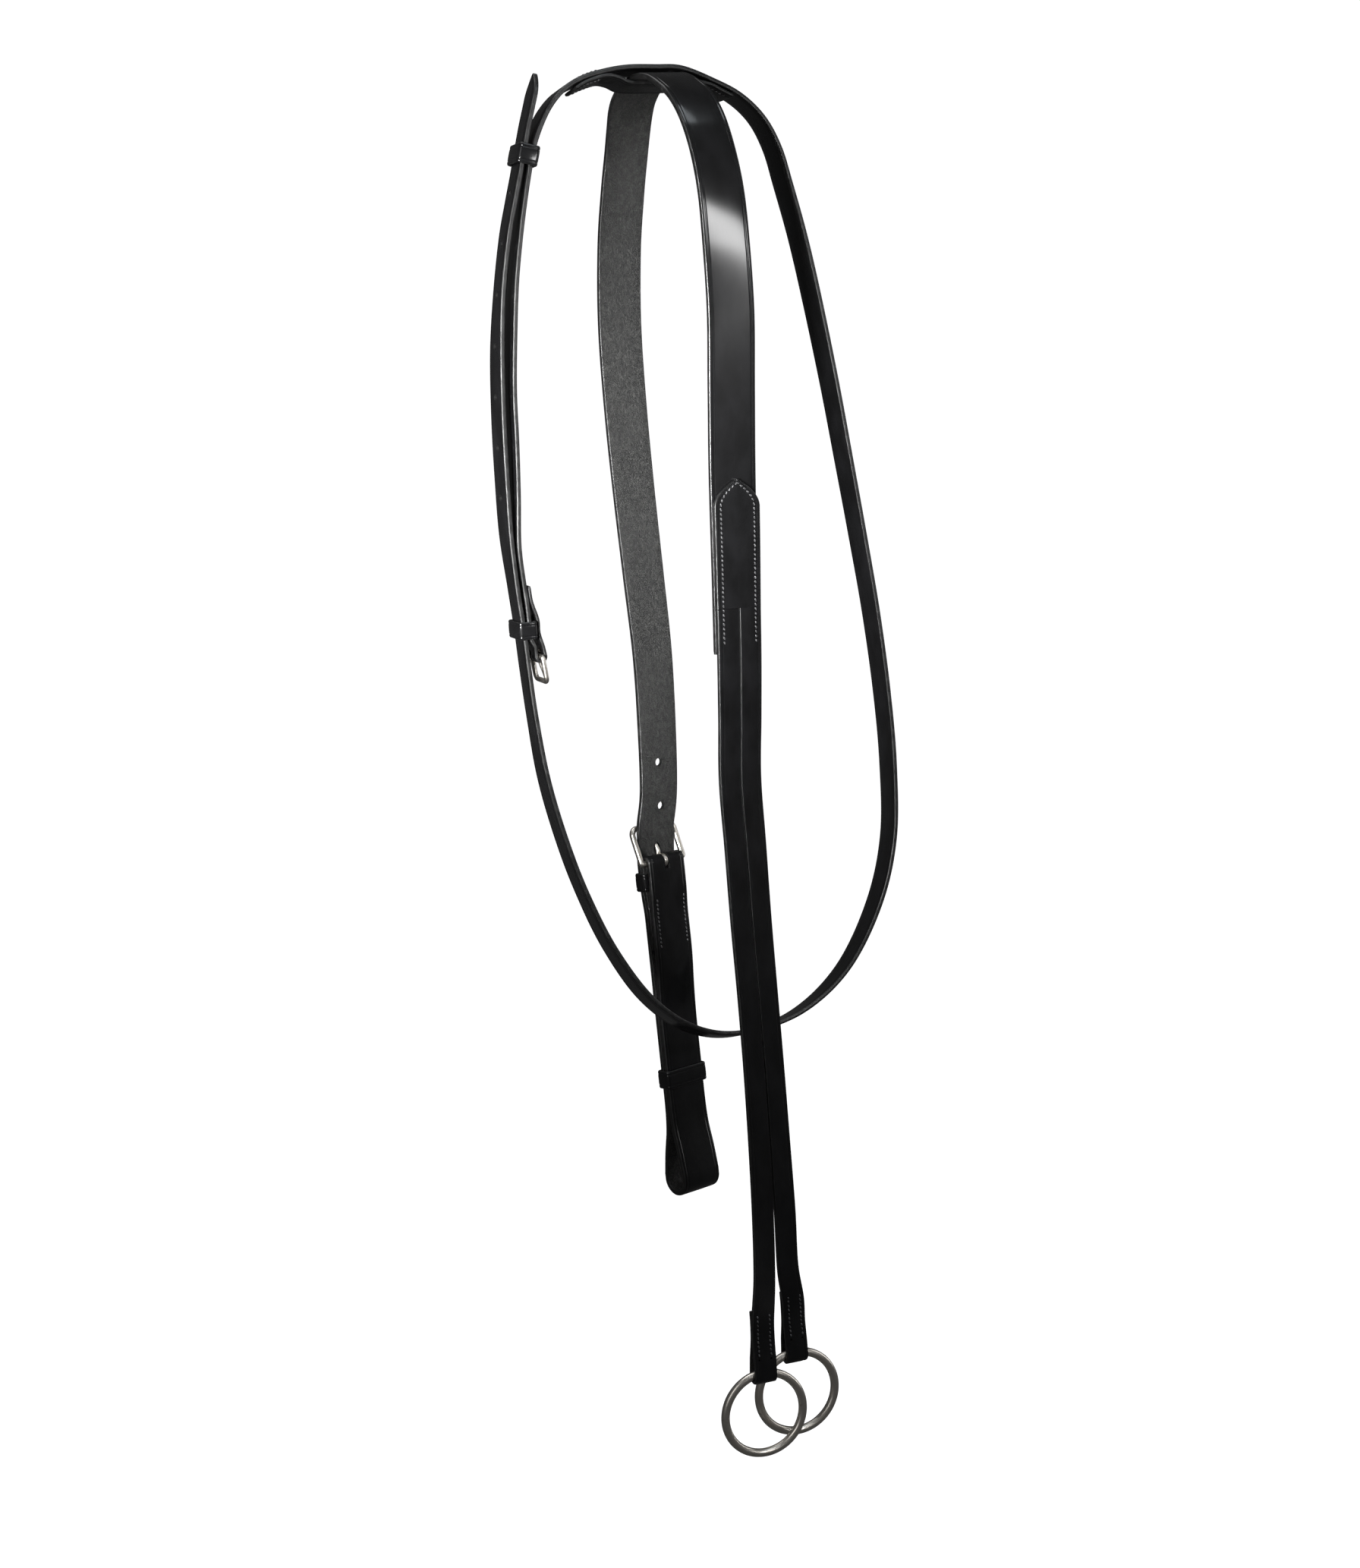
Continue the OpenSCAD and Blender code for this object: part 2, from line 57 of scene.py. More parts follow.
# %% Camera
AZIMUTH, ELEVATION, ROLL = math.radians(-28), math.radians(10), math.radians(-3.4)
TARGET = Vector((-6.24, 0, -363.7)) * MM
DISTANCE = 1.4
SENSOR, LENS = 36, 60.987
toward = Vector((math.sin(AZIMUTH) * math.cos(ELEVATION),
                 -math.cos(AZIMUTH) * math.cos(ELEVATION), math.sin(ELEVATION)))
right = Vector((math.cos(AZIMUTH), math.sin(AZIMUTH), 0))
up = toward.cross(right)
right, up = (right * math.cos(ROLL) + up * math.sin(ROLL),
             up * math.cos(ROLL) - right * math.sin(ROLL))
camera_data = bpy.data.cameras.new("camera")
camera_data.sensor_width = SENSOR
camera_data.lens = LENS
camera_data.clip_start, camera_data.clip_end = 0.05, 20
camera = bpy.data.objects.new("camera", camera_data)
turn = Matrix((right, up, toward)).transposed().to_4x4()
camera.matrix_world = Matrix.Translation(TARGET + toward * DISTANCE) @ turn
bpy.context.scene.collection.objects.link(camera)
bpy.context.scene.camera = camera
print("lens:", round(camera_data.lens, 1), "mm")

# %% [markdown]
# Shader nodes are easier to read as sums than as wires. This small class wraps one socket, so that
# `a * 2 + b` adds the Math nodes, and `node` adds any other node. Colours go through Mix nodes,
# because a Math node turns a colour grey.

# %% Shader helper
class Wire:
    """One shader socket, with the arithmetic that the finishes use."""

    def __init__(self, tree, socket):
        self.tree, self.socket = tree, socket

    def _math(self, operation, a, b):
        node = self.tree.nodes.new("ShaderNodeMath")
        node.operation = operation
        for slot, value in zip(node.inputs, (a, b)):
            if isinstance(value, Wire):
                self.tree.links.new(value.socket, slot)
            else:
                slot.default_value = value
        return Wire(self.tree, node.outputs[0])

    def __add__(self, other):
        return self._math("ADD", self, other)

    def __radd__(self, other):
        return self._math("ADD", other, self)

    def __sub__(self, other):
        return self._math("SUBTRACT", self, other)

    def __rsub__(self, other):
        return self._math("SUBTRACT", other, self)

    def __mul__(self, other):
        return self._math("MULTIPLY", self, other)

    def __rmul__(self, other):
        return self._math("MULTIPLY", other, self)

    def lowest(self, other):
        return self._math("MINIMUM", self, other)

    def step(self, low, high):
        """0 below low, 1 above high, and smooth between them."""
        return node(self.tree, "MapRange", {"interpolation_type": "SMOOTHSTEP"},
                    {"Value": self, "From Min": low, "From Max": high}, "Result")


def node(tree, kind, settings, inputs, output):
    """Adds one node: its settings first, then its sockets' values or links."""
    made = tree.nodes.new("ShaderNode" + kind)
    for name, value in settings.items():
        setattr(made, name, value)
    for name, value in inputs.items():
        if isinstance(value, Wire):
            tree.links.new(value.socket, made.inputs[name])
        else:
            made.inputs[name].default_value = value
    return Wire(tree, made.outputs[output])


def mix(tree, factor, a, b):
    """A colour between a and b. Plain colours are tuples, varying ones are wires."""
    made = tree.nodes.new("ShaderNodeMix")
    made.data_type = "RGBA"
    for index, value in ((0, factor), (6, a), (7, b)):
        if isinstance(value, Wire):
            tree.links.new(value.socket, made.inputs[index])
        else:
            made.inputs[index].default_value = value
    return Wire(tree, made.outputs[2])


def start_finish(name):
    """A new material and its shader."""
    material = bpy.data.materials.new(name)
    material.use_nodes = True
    return material, material.node_tree, material.node_tree.nodes["Principled BSDF"]


def feed(tree, shader, **wires):
    for name, wire in wires.items():
        tree.links.new(wire.socket, shader.inputs[name.replace("_", " ")])


def noise(tree, place, scale, detail=3.0, rough=0.5, distortion=0.0):
    return node(tree, "TexNoise", {}, {"Vector": place, "Scale": scale, "Detail": detail,
                                       "Roughness": rough, "Distortion": distortion}, "Fac")


def bump(tree, height, strength, distance):
    return node(tree, "Bump", {}, {"Height": height, "Strength": strength,
                                   "Distance": distance}, "Normal")


print("shader helper ready")

# %% [markdown]
# Bridle leather has three surfaces. The grain side is black, waxed and glossy, with very fine
# pores, faint wrinkles and a few scuffs. The flesh side is the inner face of the hide: dull, dark
# grey and mottled, with loose fibres. The cut edge is burnished and inked, so it shines in streaks
# that run along the strap. Each is a material of its own, and the pattern follows the strap,
# because its UV map is the distance along and across it in metres.

# %% Leather finishes
def strap_place(tree):
    """The UV map as a vector in millimetres: X along the strap, Y across it."""
    uv = node(tree, "UVMap", {"uv_map": "strap"}, {}, "UV")
    return node(tree, "VectorMath", {"operation": "SCALE"}, {"Vector": uv, "Scale": 1000.0}, "Vector")


def stretched(tree, place, x, y):
    return node(tree, "VectorMath", {"operation": "MULTIPLY"}, {0: place, 1: (x, y, 1)}, "Vector")


def grain_finish():
    material, tree, shader = start_finish("black_grain_leather")
    place = strap_place(tree)
    pores = node(tree, "TexVoronoi", {"feature": "F1"}, {"Vector": place, "Scale": 1.5}, "Distance")
    wrinkles = noise(tree, stretched(tree, place, 0.5, 1.1), 0.9, 5.0, 0.62, 0.4)
    clouds = noise(tree, stretched(tree, place, 0.5, 1), 0.09, 3.0, 0.55)
    scuffs = noise(tree, stretched(tree, place, 0.05, 1.4), 0.55, 4.0, 0.7, 0.3).step(0.62, 0.8)
    dust = noise(tree, place, 2.2, 2.0, 0.5).step(0.73, 0.8)
    dark = mix(tree, clouds.step(0.3, 0.75), (0.0028, 0.0028, 0.003, 1), (0.006, 0.006, 0.0066, 1))
    worn = mix(tree, (scuffs * 0.3 + dust * 0.25).lowest(1), dark, (0.03, 0.03, 0.031, 1))
    roughness = 0.36 + clouds * 0.14 + scuffs * 0.14 + wrinkles * 0.05
    height = wrinkles * 0.6 + pores.step(0.05, 0.35) * 0.4 - scuffs * 0.1
    feed(tree, shader, Base_Color=worn, Roughness=roughness,
         Normal=bump(tree, height, 0.22, 0.0006))
    shader.inputs["Specular IOR Level"].default_value = 0.08
    shader.inputs["Coat Weight"].default_value = 0.65
    shader.inputs["Coat Roughness"].default_value = 0.13
    return material


def flesh_finish():
    material, tree, shader = start_finish("dark_flesh_side")
    place = strap_place(tree)
    mottle = noise(tree, stretched(tree, place, 0.6, 1), 0.55, 6.0, 0.66, 0.9)
    worms = noise(tree, stretched(tree, place, 0.75, 1), 0.85, 3.0, 0.5, 2.2)
    fibres = noise(tree, stretched(tree, place, 0.8, 2.6), 2.6, 4.0, 0.7)
    patches = noise(tree, stretched(tree, place, 0.35, 1), 0.05, 2.0, 0.5)
    light = (mottle.step(0.38, 0.72) * 0.6 + worms.step(0.5, 0.6) * 0.4) * (0.35 + patches * 0.9)
    colour = mix(tree, light.lowest(1), (0.002, 0.002, 0.002, 1), (0.062, 0.062, 0.058, 1))
    roughness = 0.5 + fibres * 0.2
    height = mottle * 0.5 + fibres * 0.3 + worms.step(0.46, 0.62) * 0.4
    feed(tree, shader, Base_Color=colour, Roughness=roughness,
         Normal=bump(tree, height, 0.8, 0.0012))
    return material


def edge_finish():
    material, tree, shader = start_finish("burnished_edge")
    place = strap_place(tree)
    streaks = noise(tree, stretched(tree, place, 0.12, 2.5), 1.6, 4.0, 0.6)
    nicks = noise(tree, place, 0.8, 2.0, 0.5).step(0.66, 0.78)
    colour = mix(tree, (streaks.step(0.4, 0.75) * 0.5 + nicks * 0.5).lowest(1),
                 (0.006, 0.006, 0.006, 1), (0.04, 0.04, 0.04, 1))
    feed(tree, shader, Base_Color=colour, Roughness=0.3 + streaks * 0.22 + nicks * 0.15,
         Normal=bump(tree, streaks + nicks * 0.5, 0.25, 0.0004))
    return material


GRAIN, FLESH, EDGE = grain_finish(), flesh_finish(), edge_finish()
print("leather finishes:", GRAIN.name, FLESH.name, EDGE.name)

# %% [markdown]
# The thread is waxed black linen: it catches small highlights on each stitch. The rings and
# buckles are nickel-plated, slightly warm, with fine polishing lines and a few dull spots where
# fingers and leather have rubbed them.

# %% Thread and metal finishes
def thread_finish():
    material, tree, shader = start_finish("waxed_black_thread")
    place = node(tree, "TexCoord", {}, {}, "Object")
    twist = noise(tree, place, 1400.0, 2.0, 0.6)
    colour = mix(tree, twist.step(0.35, 0.7), (0.025, 0.025, 0.026, 1), (0.12, 0.12, 0.124, 1))
    feed(tree, shader, Base_Color=colour, Roughness=0.34 + twist * 0.2,
         Normal=bump(tree, twist, 0.3, 0.0002))
    return material


def nickel_finish():
    material, tree, shader = start_finish("warm_nickel")
    place = node(tree, "TexCoord", {}, {}, "Object")
    polish = noise(tree, stretched(tree, place, 1, 1), 900.0, 3.0, 0.6)
    smears = noise(tree, place, 45.0, 4.0, 0.6, 0.5)
    spots = noise(tree, place, 240.0, 2.0, 0.5).step(0.64, 0.74)
    colour = mix(tree, (smears.step(0.45, 0.8) * 0.5 + spots * 0.5).lowest(1),
                 (0.74, 0.70, 0.64, 1), (0.52, 0.48, 0.43, 1))
    feed(tree, shader, Base_Color=colour,
         Roughness=0.25 + smears * 0.12 + spots * 0.08 + polish * 0.04,
         Normal=bump(tree, polish + smears * 0.5, 0.02, 0.0002))
    shader.inputs["Metallic"].default_value = 1.0
    return material


THREAD, NICKEL = thread_finish(), nickel_finish()
print("other finishes:", THREAD.name, NICKEL.name)

# %% [markdown]
# A strap is one cross-section carried along a route. The route is a list of points in
# millimetres, each with the twist and the roll of the strap there, and a smooth curve is drawn
# through them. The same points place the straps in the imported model, so both agree.

# %% Routes: points, curves and local frames
def curve(a, b, c, d, t):
    """Catmull-Rom curve between b and c."""
    return 0.5 * (2 * b + (c - a) * t + (2 * a - 5 * b + 4 * c - d) * t * t
                  + (3 * b - a - 3 * c + d) * t ** 3)


def smooth(points, steps):
    last = len(points) - 1
    out = []
    for i in range(last):
        a, b, c, d = (Vector(points[k]) for k in (max(i - 1, 0), i, i + 1, min(i + 2, last)))
        out += [curve(a, b, c, d, k / steps) for k in range(steps)]
    return out + [Vector(points[last])]


def smooth_route(points, steps):
    """The curve through route points, with a twist and a roll at each station."""
    last = len(points) - 1
    out = []
    for i in range(last):
        near = [points[k] for k in (max(i - 1, 0), i, i + 1, min(i + 2, last))]
        for k in range(steps):
            out.append(tuple(curve(*values, k / steps) for values in zip(*near)))
    return out + [points[last]]


def frame_turn(turn):
    """Swing about X, then lean about Y, then twist about Z."""
    x, y, z = (math.radians(a) for a in turn)
    return Matrix.Rotation(z, 3, "Z") @ Matrix.Rotation(y, 3, "Y") @ Matrix.Rotation(x, 3, "X")


def side_route(points, at, turn):
    """Side-view points (depth, height) in a local frame, as route points."""
    made = frame_turn(turn)
    return [(*(made @ Vector((0, d, h)) + Vector(at)), turn[2], 0) for d, h in points]


def side_arc(centre, radius, start, end, steps=18):
    angles = [math.radians(start + (end - start) * i / steps) for i in range(steps + 1)]
    return [(centre[0] + radius * math.cos(a), centre[1] + radius * math.sin(a)) for a in angles]


def flat_turn(points):
    return [(*p, 0) for p in points]


def neck_route(points):
    return [(x, 0, z, 90 + twist, roll) for x, z, twist, roll in points]


def stations(route):
    """For each route point: its place, the directions along, across and out, and its distance."""
    places = [Vector(p[:3]) for p in route]
    out, distance = [], 0.0
    for i, place in enumerate(places):
        along = (places[min(i + 1, len(places) - 1)] - places[max(i - 1, 0)]).normalized()
        twist, roll = math.radians(route[i][3]), math.radians(route[i][4])
        across = Vector((math.cos(twist), math.sin(twist), 0))
        across = (across - across.dot(along) * along).normalized()
        across = across * math.cos(roll) + along.cross(across) * math.sin(roll)
        if i:
            distance += (place - places[i - 1]).length
        out.append((place, along, across, along.cross(across), distance))
    return out


print("route helpers ready")

# %% [markdown]
# The cross-section of a cut strap is not a plain rectangle. The two edges are bevelled and
# rounded, the grain side is very slightly crowned, and a hot creasing iron has pressed a shiny
# line into it just inside each edge. Here that profile is worked out for a strap of width w and
# thickness t, with the grain side up.

# %% Strap profile
CREASE_IN = 2.2      # distance from the crease to the strap's edge
CREASE_DEEP = 0.24


def half_profile(w, t, plain):
    """From the middle of the grain side round one edge to the flesh side.

    a and b are half the width and thickness, c is the crease's place, and k makes the edge's
    shape smaller on a narrow strip.
    """
    a, b = w / 2, t / 2
    k = min(1, a / 6)
    c, edge = a - CREASE_IN * k, 0.9 * k
    if plain:
        return [(a * 0.3, b + 0.08), (c - 0.9 * k, b + 0.07), (c - 0.35 * k, b + 0.06),
                (c, b + 0.06), (c + 0.35 * k, b + 0.05), (c + 0.75 * k, b + 0.05),
                (a - 0.5 * k, b + 0.04), (a - 0.1 * k, b), (a + 0.1, b - 0.25), (a + 0.18, 0.1 * b),
                (a + 0.18, -b * 0.6), (a + 0.16, -b + 0.1), (a - 0.2 * k, -b), (a * 0.5, -b)]
    return [(a * 0.3, b + 0.08), (c - 0.9 * k, b + 0.04), (c - 0.35 * k, b),
            (c, b - CREASE_DEEP * k), (c + 0.35 * k, b + 0.02), (c + 0.75 * k, b + 0.02),
            (a - edge, b - 0.04), (a - edge * 0.45, b - 0.2 * edge - 0.02),
            (a - edge * 0.1, b - 0.6 * edge), (a, 0.1 * b), (a - 0.03, -b * 0.6),
            (a - 0.2 * k, -b + 0.14), (a - 0.55 * k, -b), (a * 0.5, -b)]


def profile(w, t, plain=0):
    """The closed section as (across, out) points. plain is the side with a square cut edge."""
    return (half_profile(w, t, plain == 1)
            + [(-x, y) for x, y in reversed(half_profile(w, t, plain == -1))])


def surface_of(k):
    """The finish between section points k and k + 1: 0 grain, 1 edge, 2 flesh."""
    half = len(half_profile(BODY_W, BODY_T, False))
    k = k if k < half else 2 * half - 2 - k
    return 0 if k < 7 else (1 if k < 12 else 2)


print("section points:", len(profile(BODY_W, BODY_T)))

# %% [markdown]
# A strap starts as a flat grid, with one row per station of the route and one column per point
# of the section. Each vertex is then moved to its place, the two long sides are merged and the
# ends are closed. Its UV map is the distance along and across the strap in metres.

# %% Sweeping a strap
def skin(sections, reach, shape, closed=False):
    """A surface through the sections. reach is the distance of each, shape the flat section."""
    count = len(sections[0])
    if closed:
        sections = sections + [sections[0]]
    rows = len(sections)
    bm = bmesh.new()
    uv = bm.loops.layers.uv.new("strap")
    bmesh.ops.create_grid(bm, x_segments=rows - 1, y_segments=count, size=1)
    marks = {v: (round((v.co.x + 1) * (rows - 1) / 2), round((v.co.y + 1) * count / 2))
             for v in bm.verts}
    for face in bm.faces:
        face.smooth = True
        face.material_index = surface_of(min(marks[v][1] for v in face.verts))
        for loop in face.loops:
            i, k = marks[loop.vert]
            loop[uv].uv = (reach[i] * MM, shape[k % count][0] * MM)
    for v, (i, k) in marks.items():
        v.co = sections[i][k % count] * MM
    bmesh.ops.remove_doubles(bm, verts=bm.verts, dist=1e-7)
    ends = bmesh.ops.holes_fill(bm, edges=[e for e in bm.edges if e.is_boundary], sides=0)["faces"]
    for face in ends:
        face.material_index = 1
        for edge in face.edges:
            edge.smooth = False
    bmesh.ops.recalc_face_normals(bm, faces=bm.faces)
    return bm


def point_width(w, tip, d):
    """Width at distance d from a pointed end."""
    return w if tip == 0 or d >= tip else w * max(0.08, 1 - (1 - d / tip) ** 2.0)


def pared(t, thin, length, d):
    """Thickness at distance d from an end that is pared thin over that length."""
    return thin + (t - thin) * min(max((d - length) / 12, 0), 1)


def rounded(d, wanted):
    """How much of its thickness a rounded end has at distance d."""
    return 1 if d > 0.8 or not wanted else 0.7 + 0.3 * math.sqrt(1 - (1 - d / 0.8) ** 2)


def strap(route, w, t, grain=1, tips=(0, 0), thins=(-12, -12), thin=2.0, ends=(True, True),
          plain=0):
    """A strap along a route. grain is 1 where its grain side faces outward, else -1."""
    rows = stations(route)
    total = rows[-1][4]
    sections = []
    for place, along, across, out, d in rows:
        left = total - d
        w_now = min(point_width(w, tips[0], d), point_width(w, tips[1], left))
        t_now = min(pared(t, thin, thins[0], d), pared(t, thin, thins[1], left))
        t_now *= rounded(d, ends[0]) * rounded(left, ends[1])
        sections.append([place + (across * x + out * y) * grain for x, y in profile(w_now, t_now, plain)])
    return skin(sections, [row[4] for row in rows], profile(w, t))


def put(name, bm, materials, body, finish, *nodes):
    """Turns a bmesh into a piece that rides on a body and stands for CAD nodes."""
    mesh = bpy.data.meshes.new(name)
    bm.to_mesh(mesh)
    bm.free()
    for material in materials:
        mesh.materials.append(material)
    piece = bpy.data.objects.new(name, mesh)
    bpy.context.scene.collection.objects.link(piece)
    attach(piece, body)
    if nodes:
        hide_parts(*nodes)
    print(name, len(mesh.polygons), "faces")
    return piece


LEATHER = (GRAIN, EDGE, FLESH)

# %% [markdown]
# Holes are punched and slots are cut after the strap is shaped, as a saddler does. A cutter is
# a rod or a block, and a Boolean modifier takes it out of the strap. The cut wall shows the
# inked edge.

# %% Cutting holes
def frame_matrix(at, turn):
    return Matrix.Translation(Vector(at) * MM) @ frame_turn(turn).to_4x4()


def on_route(route, d):
    """Matrix at distance d: X across the strap, Y along it, Z outward."""
    rows = stations(route)
    i = max(k for k in range(len(rows) - 1) if rows[k][4] <= d)
    f = (d - rows[i][4]) / (rows[i + 1][4] - rows[i][4])
    place = rows[i][0].lerp(rows[i + 1][0], f) * MM
    across, out = rows[i][2], rows[i][3]
    turned = Matrix((across, out.cross(across), out)).transposed().to_4x4()
    return Matrix.Translation(place) @ turned


def rod(bm, matrix, d, depth, sides=24):
    bmesh.ops.create_cone(bm, cap_ends=True, segments=sides, radius1=d / 2 * MM,
                          radius2=d / 2 * MM, depth=depth * MM, matrix=matrix)


def block(bm, matrix, low, high):
    middle = [(a + b) / 2 * MM for a, b in zip(low, high)]
    size = [(b - a) * MM for a, b in zip(low, high)]
    bmesh.ops.create_cube(bm, size=1, matrix=matrix @ Matrix.Translation(middle)
                          @ Matrix.Diagonal((*size, 1)))


def cut(piece, bm):
    """Takes the cutters in bm out of a piece."""
    bm.loops.layers.uv.new("strap")
    for face in bm.faces:
        face.material_index = 1
    mesh = bpy.data.meshes.new("cutter")
    bm.to_mesh(mesh)
    bm.free()
    for material in LEATHER:
        mesh.materials.append(material)
    cutter = bpy.data.objects.new("cutter", mesh)
    bpy.context.scene.collection.objects.link(cutter)
    boolean = piece.modifiers.new("holes", "BOOLEAN")
    boolean.object = cutter
    boolean.operation = "DIFFERENCE"
    bpy.context.view_layer.update()
    whole = piece.evaluated_get(bpy.context.evaluated_depsgraph_get())
    result = bpy.data.meshes.new_from_object(whole)
    piece.modifiers.clear()
    piece.data = result
    bpy.data.objects.remove(cutter)
    print(piece.name, "cut:", len(result.polygons), "faces")


print("cutters ready")

# %% [markdown]
# The body strap is one long piece. It goes up the front behind the fork piece, over the top,
# and down the back, where its end runs round the girth loop and up again to the girth buckle.
# Its grain side faces out on the front branch and in towards the loop on the back branch.

# %% Body strap
GIRTH_AT, GIRTH_TURN, GIRTH_TILT = (3.5, 44, -413), (-4, 0, 12), 19
PIN_HOLE, PUNCHED_HOLE = 4.2, 4.5
BODY_FRONT = flat_turn([
    (4, -50, -291, -2), (5.5, -50, -251, -4), (7.3, -50, -200, -7), (9.5, -50, -158, -8),
    (11.5, -50, -120, -8), (11, -50, -85, -6), (10.2, -49, -61, -3), (8.5, -46, -41, 0),
    (6.5, -41, -25, 0), (4.5, -34, -14, 0), (2.5, -25, -7, 0), (1.5, -16, -3, 0),
    (0.5, -8, -2, 0), (0, 0, -3, 0), (0.5, 8, -5, 0), (2, 18, -8, 0), (4.5, 29, -13.5, 0),
    (7, 38, -22, 0), (8, 45, -36, 0), (6.5, 49, -56, 0), (3, 50, -85, 0), (0.5, 50, -125, 0),
    (1, 50, -170, 1), (3, 50, -215, 3), (5.5, 50, -257, 5), (8, 50, -300, 8), (8, 50, -341, 10),
    (6.2, 49, -375, 12)])
GIRTH_FAR = [(2.9, 20), (3.7, 14), (5, 7), (5.7, 0), (5.7, -6), (5.4, -13), (5, -20), (4.2, -28),
             (4.1, -38), (4.1, -48), (4.1, -62), (4.2, -76), (4.2, -90), (4.2, -116),
             (4.2, -136), (5.4, -150), (8.4, -163), (10.5, -175)]
GIRTH_NEAR = [(-4.5, -175), (-2.6, -162), (0, -149), (0.8, -136), (0.8, -116), (0.8, -90),
              (0, -72), (-1.1, -58), (-1.5, -48), (-1.5, -38), (-1.5, -28), (-2.1, -20),
              (-2.5, -13), (-2.9, -6)]
GIRTH_BACK = [(2.9, -6), (2.6, -13), (2.2, -20), (1.3, -28), (1.3, -38), (1.3, -48)]


def girth_side(points):
    return side_route(points, GIRTH_AT, GIRTH_TURN)


body_run = (smooth_route(BODY_FRONT + girth_side(GIRTH_FAR), 12)
            + girth_side(side_arc((3, -177.5), 7.5, 0, -180, 24)[1:-1])
            + smooth_route(girth_side(GIRTH_NEAR), 6)
            + girth_side(side_arc((0, 0), 2.9, 180, 0, 16))
            + smooth_route(girth_side(GIRTH_BACK), 6))
body_strap = put("body-strap", strap(body_run, BODY_W, BODY_T, grain=-1, thins=(-12, 61)),
                 LEATHER, "leather", "leather", "body_strap")
girth_frame = frame_matrix(GIRTH_AT, GIRTH_TURN)
girth_tilted = girth_frame @ Matrix.Rotation(math.radians(-GIRTH_TILT), 4, "X")
holes = bmesh.new()
block(holes, girth_frame, (-1.7, -6, -4.2), (1.7, 3.9, 6))
cut(body_strap, holes)
holes = bmesh.new()
pin_turn = Matrix.Rotation(-math.atan(2.8 / 20), 4, "X")
rod(holes, girth_tilted @ Matrix.Translation((0, 0.0003, 0)) @ pin_turn
    @ Matrix.Translation((0, 0, 0.00875)), PIN_HOLE, 10.5)
for x, z in ((6.6, -383.5), (7.0, -359.5)):
    rod(holes, Matrix.Translation((x * MM, 0.05, z * MM)) @ Matrix.Rotation(math.pi / 2, 4, "X"),
        PUNCHED_HOLE, 16)
cut(body_strap, holes)

# %% [markdown]
# The fork piece is sewn on the front of the body strap. Its top end is cut to a point like a
# pointed arch. Lower down it is slit along its middle into two forks, and each fork is folded
# round a ring and sewn to itself. It is made as a pointed top and two forks that meet end to end.

# %% Fork piece
FORK_Y = -50 - (BODY_T + FORK_T) / 2 - 0.2
SLIT = 0.6
TINE_W = (BODY_W - SLIT) / 2
POINT = 14                     # length of the pointed end
FORK_TOP = flat_turn([(7.5, FORK_Y, -203, -7), (7.4, FORK_Y, -206, -7), (7.3, FORK_Y, -211, -7),
                      (7, FORK_Y, -219, -6.6), (6.3, FORK_Y, -238, -5), (5, FORK_Y, -268, -2.3)])
FORK_LOW = flat_turn([(5, FORK_Y, -268, -2.3), (3.9, FORK_Y, -295, -1), (2.9, -52, -324, 1),
                      (1.6, -51, -356, 3), (2.8, -50.5, -391, 4), (4, -50, -430, 5),
                      (5.5, -50, -470, 6), (6.8, -50, -511, 6), (7.6, -50, -553, 4),
                      (7.8, -50.3, -590, 0)])
RING_R, RING_WIRE = 22.1, 4.2
RING_DROP = RING_R - math.sqrt(RING_R ** 2 - TINE_W ** 2 / 4)
FOLD_R = RING_WIRE / 2 + RING_DROP / 2 + 0.3 + 1
LEFT_AT, LEFT_TURN = (-7.8, -57, -673.2), (0, 1.5, -8)
RIGHT_AT, RIGHT_TURN = (18.5, -46, -671.6), (0, 0, -8)
END_FRONT = [(-1.6, 31), (-1.6, 19), (-3.1, 8.5)]
END_BACK = [(3.1, 8.5), (1.2, 19), (1.1, 29), (1.8, 35)]


def beside(points, d, spread):
    """The line of one fork, moved sideways by d, and opening towards its low end."""
    out = []
    for x, y, z, twist, roll in points:
        e = d + spread * max(0, (-470 - z) / 120)
        out.append((x + e * math.cos(math.radians(twist)), y + e * math.sin(math.radians(twist)),
                    z, twist, roll))
    return out


def fork_run(line, at, turn):
    return (smooth_route(line + side_route(END_FRONT, at, turn), 14)
            + side_route(side_arc((0, 0), FOLD_R, 180, 360, 24), at, turn)
            + smooth_route(side_route(END_BACK, at, turn), 6))


side = (TINE_W + SLIT) / 2
left_line = beside(FORK_LOW, -side, -0.5) + flat_turn([(-2.6, -54.5, -622, 0)])
right_line = beside(FORK_LOW, side, 0.5) + flat_turn([(15.4, -49, -621, 0)])
put("fork-top", strap(smooth_route(FORK_TOP, 14), BODY_W, FORK_T, tips=(POINT, 0),
                      ends=(True, False)), LEATHER, "leather", "leather", "fork_strap")
for name, line, at, turn, inner in (("left-fork", left_line, LEFT_AT, LEFT_TURN, 1),
                                    ("right-fork", right_line, RIGHT_AT, RIGHT_TURN, -1)):
    fork = put(name, strap(fork_run(line, at, turn), TINE_W, FORK_T, thins=(-12, 54),
                           ends=(False, True), plain=inner), LEATHER, "leather", "leather")
    holes = bmesh.new()
    for x in (-3.3, 3.3):
        rod(holes, frame_matrix(at, turn) @ Matrix.Translation((x * MM, -0.003, 0.0095))
            @ Matrix.Rotation(math.pi / 2, 4, "X"), 1.2, 3.4, 12)
    cut(fork, holes)

# %% [markdown]
# The neck strap is narrower. It starts in a fold round the heel bar of its buckle, goes up and
# over the top, down round the neck and up again. The buckle is undone: the free end, the billet,
# passes beside it and through both keepers, and ends in a rounded point. Seven holes are punched
# in the billet.

